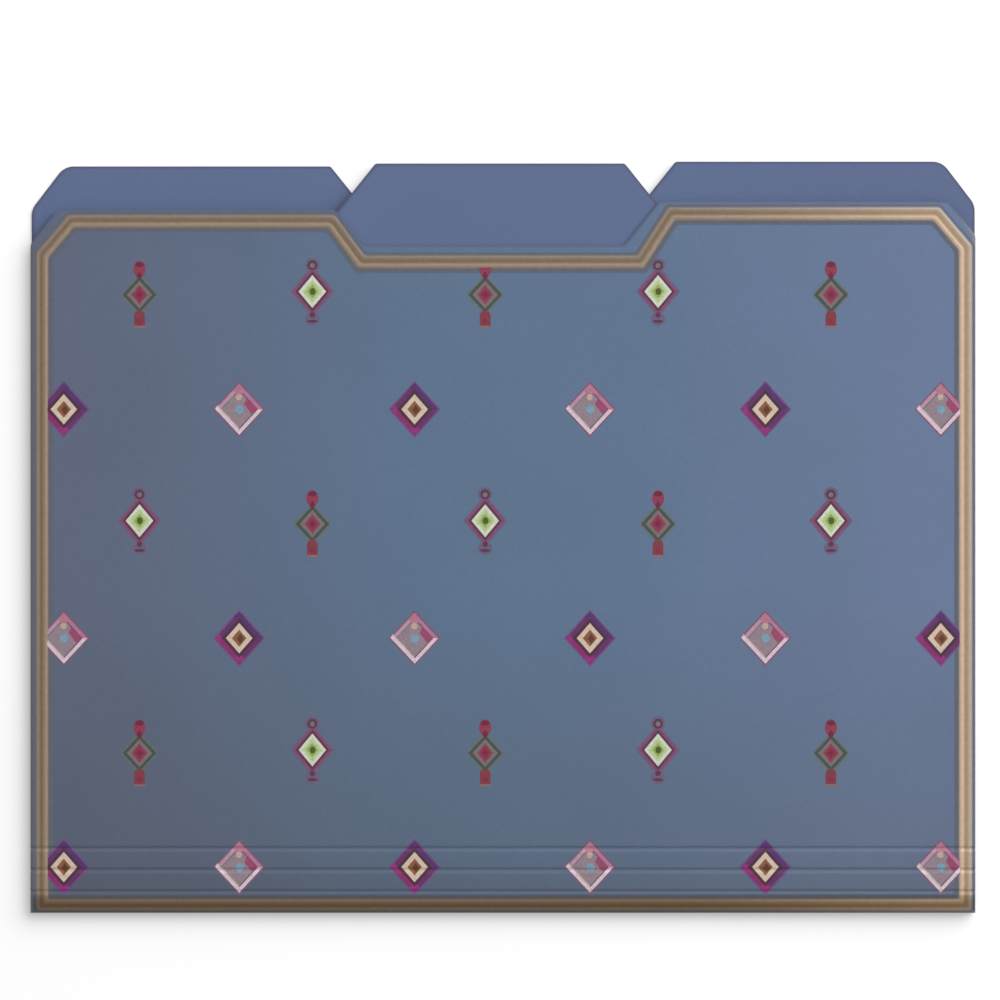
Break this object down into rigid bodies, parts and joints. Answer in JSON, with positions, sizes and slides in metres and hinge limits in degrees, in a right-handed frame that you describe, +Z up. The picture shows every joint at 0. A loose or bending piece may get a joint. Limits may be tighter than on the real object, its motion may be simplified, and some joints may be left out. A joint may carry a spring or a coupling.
{
  "type": "file folder set",
  "caption": "Flat stack of three letter-size card file folders with staggered tabs, cut-out front panels that open about a folded bottom edge, and pressed score lines along it.",
  "frame": {"origin": "middle of the stack's footprint, on the face that lies on the table", "axes": "+X to the right along the bottom folds, +Y from the folds to the tabs, +Z up through the stack towards the top folder's printed front"},
  "size_m": [0.2986, 0.2374, 0.0039],
  "materials": {
    "front_card": "matt coated card, dusty blue, printed with small lozenges and a fine gold border",
    "tab_card": "matt coated card, dusty blue with a violet cast, plain"
  },
  "bodies": {
    "left_back": {"left_back_panel": "tab_card", "left_bottom_fold": "front_card"},
    "left_front": {"left_front_panel": "front_card"},
    "right_back": {"right_back_panel": "tab_card", "right_bottom_fold": "front_card"},
    "right_front": {"right_front_panel": "front_card"},
    "centre_back": {"centre_back_panel": "tab_card", "centre_bottom_fold": "front_card"},
    "centre_front": {"centre_front_panel": "front_card"}
  },
  "joints": [
    {"name": "left_cover", "type": "hinge", "parent": "left_back", "child": "left_front", "pos_m": [0, -0.1182, 0.00055], "axis": [1, 0, 0], "range_deg": [0, 180]},
    {"name": "right_lift", "type": "slide", "parent": "left_front", "child": "right_back", "axis": [0, 0, 1], "range_m": [0, 0.26]},
    {"name": "right_cover", "type": "hinge", "parent": "right_back", "child": "right_front", "pos_m": [0, -0.1182, 0.00195], "axis": [1, 0, 0], "range_deg": [0, 120]},
    {"name": "centre_lift", "type": "slide", "parent": "right_front", "child": "centre_back", "axis": [0, 0, 1], "range_m": [0, 0.1]},
    {"name": "centre_cover", "type": "hinge", "parent": "centre_back", "child": "centre_front", "pos_m": [0, -0.1182, 0.00335], "axis": [1, 0, 0], "range_deg": [0, 180]}
  ]
}
